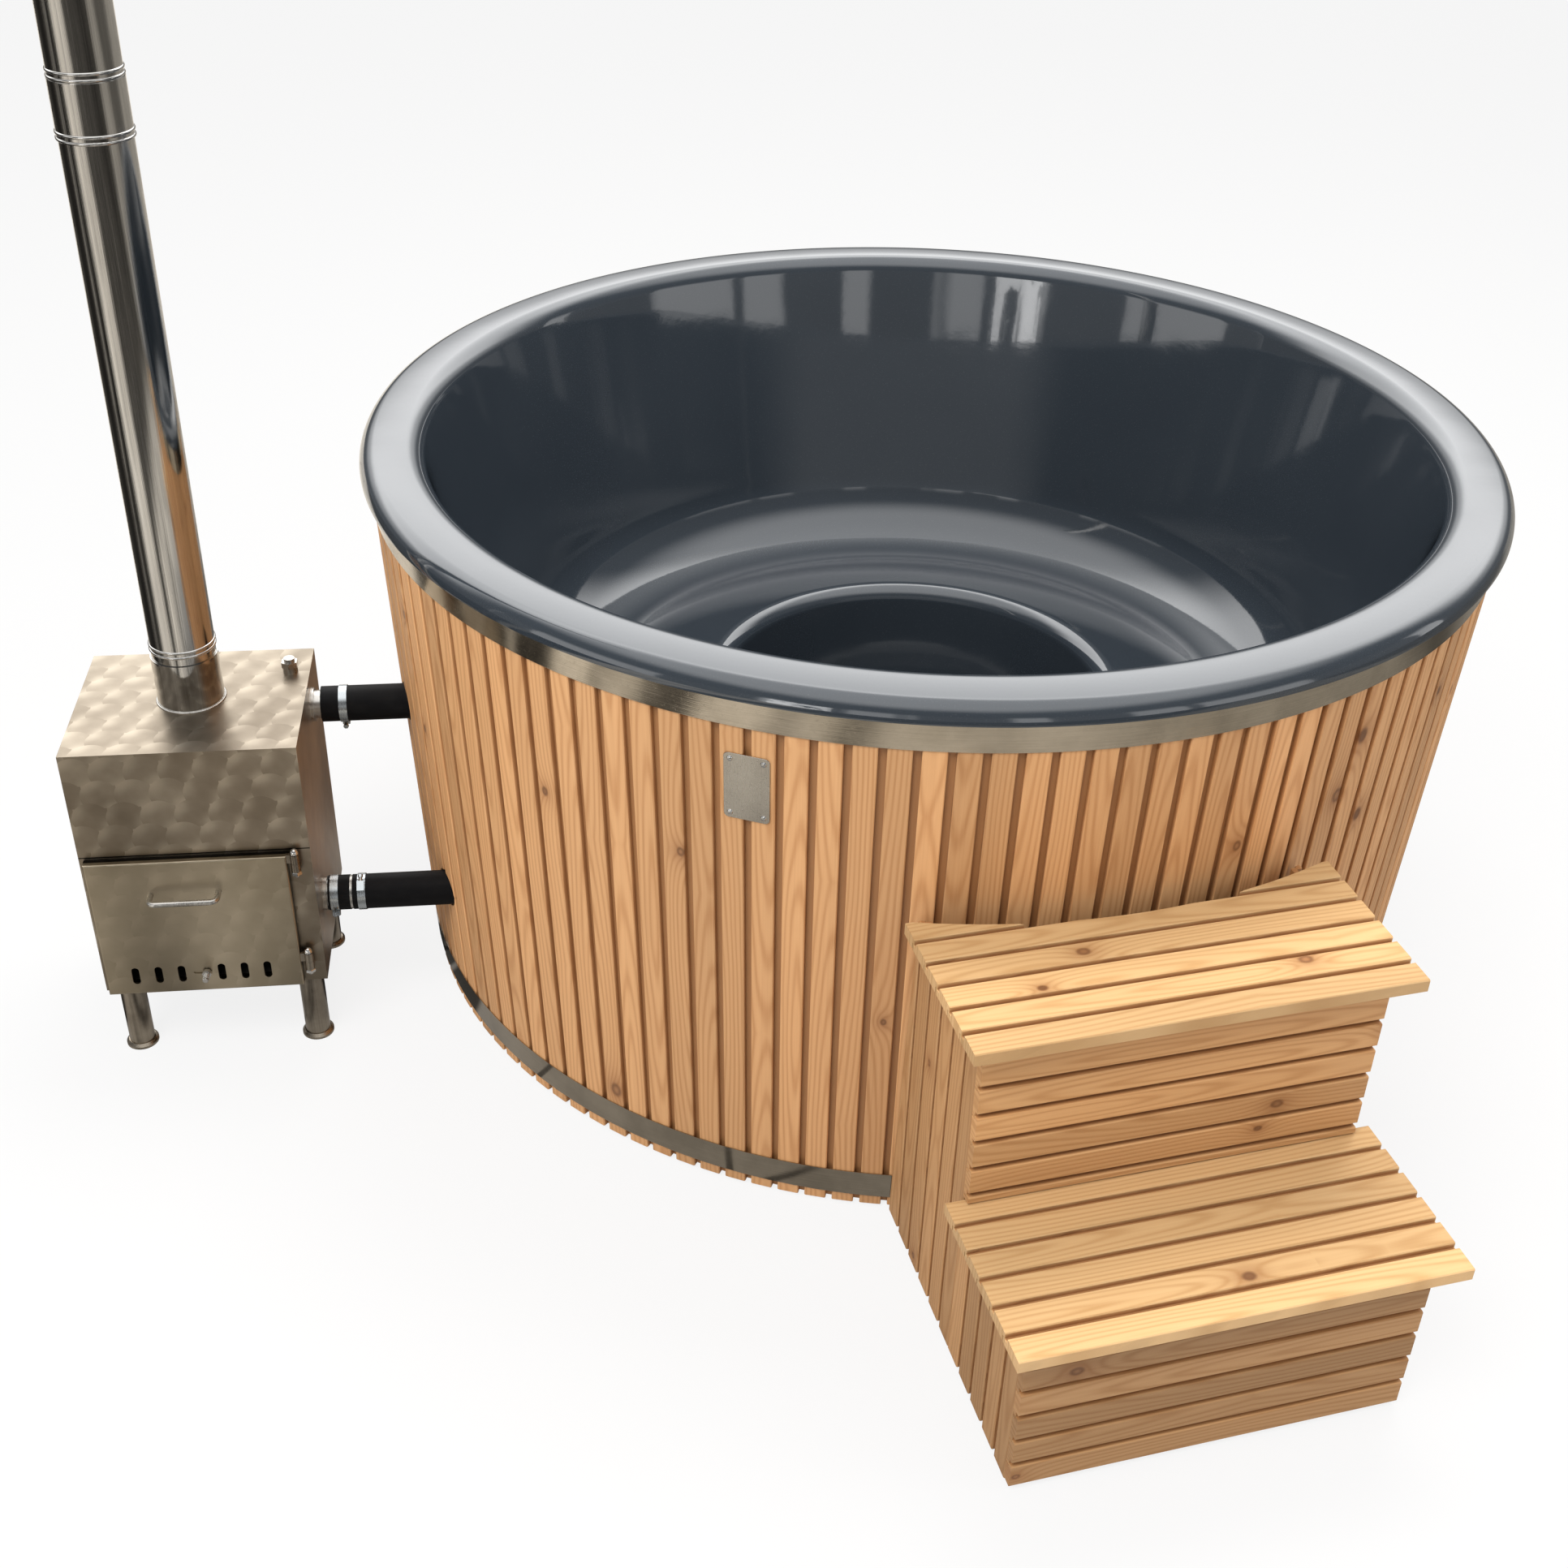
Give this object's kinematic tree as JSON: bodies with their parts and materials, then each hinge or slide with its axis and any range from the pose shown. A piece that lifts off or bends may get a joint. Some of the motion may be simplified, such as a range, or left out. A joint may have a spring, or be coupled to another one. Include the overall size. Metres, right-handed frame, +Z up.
{
  "type": "wood-fired hot tub",
  "caption": "Round wood-clad hot tub with a moulded bench liner, an external wood-burning water heater with flue, hose connections and free-standing entry steps.",
  "frame": {"origin": "tub axis on the floor, on the underside of the middle bearer", "axes": "+Z up along the tub axis; -X towards the heater, along both hoses; -Y towards the heater's door side, where the steps stand"},
  "size_m": [2.489, 2.5221, 2.566],
  "materials": {
    "gelcoat": "high gloss gelcoat",
    "cladding_wood": "oiled softwood",
    "step_wood": "oiled softwood",
    "frame_wood": "sawn softwood",
    "hoop_steel": "polished",
    "fitting_plastic": "satin",
    "heater_steel": "engine turned",
    "door_steel": "brushed",
    "firebox_steel": "sooted",
    "grate_iron": "raw",
    "leg_steel": "satin",
    "flue_steel": "mirror polished",
    "hose_rubber": "satin",
    "clamp_steel": "bright",
    "knob_steel": "polished",
    "plug_rubber": "matte"
  },
  "bodies": {
    "tub": {"liner_shell": "gelcoat", "cladding_boards": "cladding_wood", "drilled_boards": "cladding_wood", "upper_hoop": "hoop_steel", "lower_hoop": "hoop_steel", "base_bearers": "frame_wood", "lower_frame_ring": "frame_wood", "upper_frame_ring": "frame_wood", "seat_posts": "frame_wood", "drain_fitting": "fitting_plastic", "drain_nut": "fitting_plastic", "return_fitting": "fitting_plastic", "return_nut": "fitting_plastic", "suction_fitting": "fitting_plastic", "suction_nut": "fitting_plastic", "suction_pipe": "fitting_plastic", "heater_casing": "heater_steel", "heater_front_plate": "heater_steel", "firebox": "firebox_steel", "fire_grate": "grate_iron", "heater_legs": "leg_steel", "leg_feet": "leg_steel", "flue_collar": "flue_steel", "lower_flue_pipe": "flue_steel", "upper_flue_pipe": "flue_steel", "vent_socket": "leg_steel", "vent_plug": "leg_steel", "upper_nozzle": "leg_steel", "lower_nozzle": "leg_steel", "lower_sleeve": "hose_rubber", "lower_nipple": "leg_steel", "upper_hose": "hose_rubber", "lower_hose": "hose_rubber", "upper_hose_clamp": "clamp_steel", "lower_sleeve_clamp": "clamp_steel", "lower_hose_clamp": "clamp_steel", "upper_tail_clamp": "clamp_steel", "lower_tail_clamp": "clamp_steel", "hinge_brackets": "leg_steel", "hinge_pins": "leg_steel"},
    "heater_door": {"heater_door": "door_steel", "door_hinge_knuckles": "leg_steel", "door_handle": "leg_steel", "air_slide_guides": "door_steel"},
    "air_slide": {"air_slide": "door_steel", "air_slide_knob": "knob_steel"},
    "drain_plug": {"drain_plug": "plug_rubber"},
    "steps": {"upper_tread_boards": "step_wood", "lower_tread_boards": "step_wood", "upper_riser_boards": "step_wood", "lower_riser_boards": "step_wood", "left_side_boards": "step_wood", "right_side_boards": "step_wood", "step_posts": "frame_wood", "step_rails": "frame_wood"}
  },
  "joints": [
    {"name": "door_hinge", "type": "hinge", "parent": "tub", "child": "heater_door", "pos_m": [-1.134, -0.43205, 0.3], "axis": [0, 0, 1], "range_deg": [0, 120]},
    {"name": "air_slide_run", "type": "slide", "parent": "heater_door", "child": "air_slide", "axis": [-1, 0, 0], "range_m": [0, 0.0195]},
    {"name": "drain_plug_lift", "type": "slide", "parent": "tub", "child": "drain_plug", "axis": [0, 0, 1], "range_m": [0, 0.25]},
    {"name": "steps_away", "type": "slide", "parent": "tub", "child": "steps", "axis": [0.1452, -0.9894, 0], "range_m": [0, 0.5]}
  ]
}
